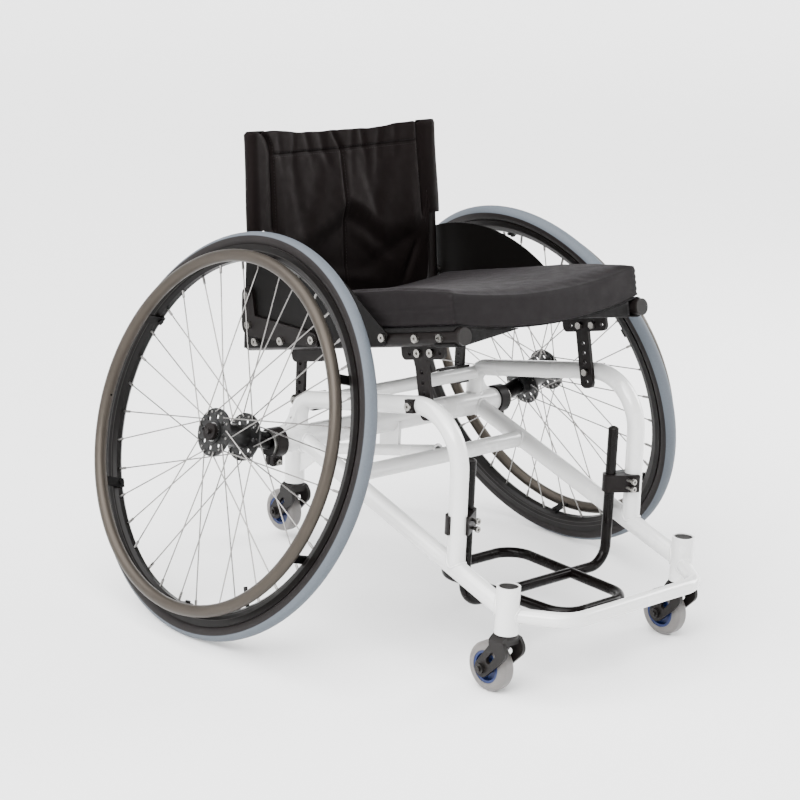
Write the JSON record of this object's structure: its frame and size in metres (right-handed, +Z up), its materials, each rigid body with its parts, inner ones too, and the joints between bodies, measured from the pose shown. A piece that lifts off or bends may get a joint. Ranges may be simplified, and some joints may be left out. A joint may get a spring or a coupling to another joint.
{
  "type": "sports wheelchair",
  "caption": "Rigid sports wheelchair with strongly cambered laced wheels, handrims, front casters, a rear anti-tip caster, sling seat with cushion, low back and sliding foot loop.",
  "frame": {"origin": "middle of the footprint on the floor", "axes": "+Z up, front towards -Y, left of the sitter towards +X"},
  "size_m": [0.8808, 0.846, 0.7171],
  "materials": {
    "frame_white": "gloss white enamel over welded tube",
    "bracket_black": "black anodised, satin",
    "fork_black": "black, satin",
    "axle_alloy": "bright machined",
    "bolt_steel": "zinc plated",
    "bearing_steel": "ground",
    "plug_plastic": "moulded, matt",
    "sling_fabric": "black woven nylon",
    "cushion_fabric": "dark stretch cover over foam",
    "back_fabric": "black woven nylon",
    "guard_plastic": "black sheet, satin",
    "tyre_rubber": "black sidewall, blue-grey tread",
    "rim_black": "black anodised",
    "spoke_steel": "polished stainless",
    "handrim_alloy": "satin titanium grey",
    "caster_rubber": "pale grey urethane",
    "caster_core_blue": "blue moulding"
  },
  "bodies": {
    "frame": {"axle_tube": "frame_white", "side_tube_left": "frame_white", "side_tube_right": "frame_white", "lower_rail_left": "frame_white", "lower_rail_right": "frame_white", "rear_cross_tube": "frame_white", "mid_cross_tube": "frame_white", "front_bumper": "frame_white", "caster_barrels": "frame_white", "rear_strut": "frame_white", "axle_gussets": "frame_white", "barrel_caps": "plug_plastic", "camber_clamps": "bracket_black", "camber_plugs": "axle_alloy", "swivel_bearings": "bearing_steel", "axle_pins": "bracket_black", "hub_bearings": "bearing_steel", "clamp_bolts": "bolt_steel", "seat_rail_left": "bracket_black", "seat_rail_right": "bracket_black", "end_plugs": "plug_plastic", "front_posts": "bracket_black", "rear_posts": "bracket_black", "post_clamps": "bracket_black", "seat_bolts": "bolt_steel", "seat_sling": "sling_fabric", "seat_cushion": "cushion_fabric", "back_plates": "bracket_black", "back_posts": "bracket_black", "back_upholstery": "back_fabric", "side_guard_left": "guard_plastic", "side_guard_right": "guard_plastic", "footrest_clamps": "bracket_black"},
    "footrest": {"footrest_posts": "bracket_black", "foot_loop": "bracket_black", "footrest_plugs": "plug_plastic"},
    "wheel_left": {"tyre_left": "tyre_rubber", "rim_left": "rim_black", "spokes_left": "spoke_steel", "hub_left": "rim_black", "handrim_left": "handrim_alloy"},
    "button_left": {"axle_button_left": "plug_plastic"},
    "wheel_right": {"tyre_right": "tyre_rubber", "rim_right": "rim_black", "spokes_right": "spoke_steel", "hub_right": "rim_black", "handrim_right": "handrim_alloy"},
    "button_right": {"axle_button_right": "plug_plastic"},
    "swivel_left": {"fork_left": "fork_black", "caster_axle_left": "bolt_steel"},
    "caster_left": {"caster_tyre_left": "caster_rubber", "caster_core_left": "caster_core_blue"},
    "swivel_right": {"fork_right": "fork_black", "caster_axle_right": "bolt_steel"},
    "caster_right": {"caster_tyre_right": "caster_rubber", "caster_core_right": "caster_core_blue"},
    "swivel_rear": {"fork_rear": "fork_black", "caster_axle_rear": "bolt_steel"},
    "caster_rear": {"caster_tyre_rear": "caster_rubber", "caster_core_rear": "caster_core_blue"}
  },
  "joints": [
    {"name": "wheel_spin_left", "type": "hinge", "parent": "frame", "child": "wheel_left", "pos_m": [0.3245, 0.118, 0.29367], "axis": [0.9613, 0, 0.2756], "continuous": true},
    {"name": "axle_button_left", "type": "slide", "parent": "frame", "child": "button_left", "axis": [-0.9613, 0, -0.2756], "range_m": [0, 0.004], "stiffness_N_per_m": 400},
    {"name": "wheel_spin_right", "type": "hinge", "parent": "frame", "child": "wheel_right", "pos_m": [-0.3245, 0.118, 0.29367], "axis": [-0.9613, 0, 0.2756], "continuous": true},
    {"name": "axle_button_right", "type": "slide", "parent": "frame", "child": "button_right", "axis": [0.9613, 0, -0.2756], "range_m": [0, 0.004], "stiffness_N_per_m": 400},
    {"name": "caster_swivel_left", "type": "hinge", "parent": "frame", "child": "swivel_left", "pos_m": [0.1865, -0.338, 0.1], "axis": [0, 0, 1], "continuous": true},
    {"name": "caster_spin_left", "type": "hinge", "parent": "swivel_left", "child": "caster_left", "pos_m": [0.1865, -0.313, 0.0362], "axis": [1, 0, 0], "continuous": true},
    {"name": "caster_swivel_right", "type": "hinge", "parent": "frame", "child": "swivel_right", "pos_m": [-0.1865, -0.338, 0.1], "axis": [0, 0, 1], "continuous": true},
    {"name": "caster_spin_right", "type": "hinge", "parent": "swivel_right", "child": "caster_right", "pos_m": [-0.1865, -0.313, 0.0362], "axis": [1, 0, 0], "continuous": true},
    {"name": "caster_swivel_rear", "type": "hinge", "parent": "frame", "child": "swivel_rear", "pos_m": [0, 0.351, 0.114], "axis": [0, 0, 1], "continuous": true},
    {"name": "caster_spin_rear", "type": "hinge", "parent": "swivel_rear", "child": "caster_rear", "pos_m": [0, 0.376, 0.0502], "axis": [1, 0, 0], "continuous": true},
    {"name": "footrest_height", "type": "slide", "parent": "frame", "child": "footrest", "axis": [0, 0, 1], "range_m": [-0.05, 0.06]}
  ]
}
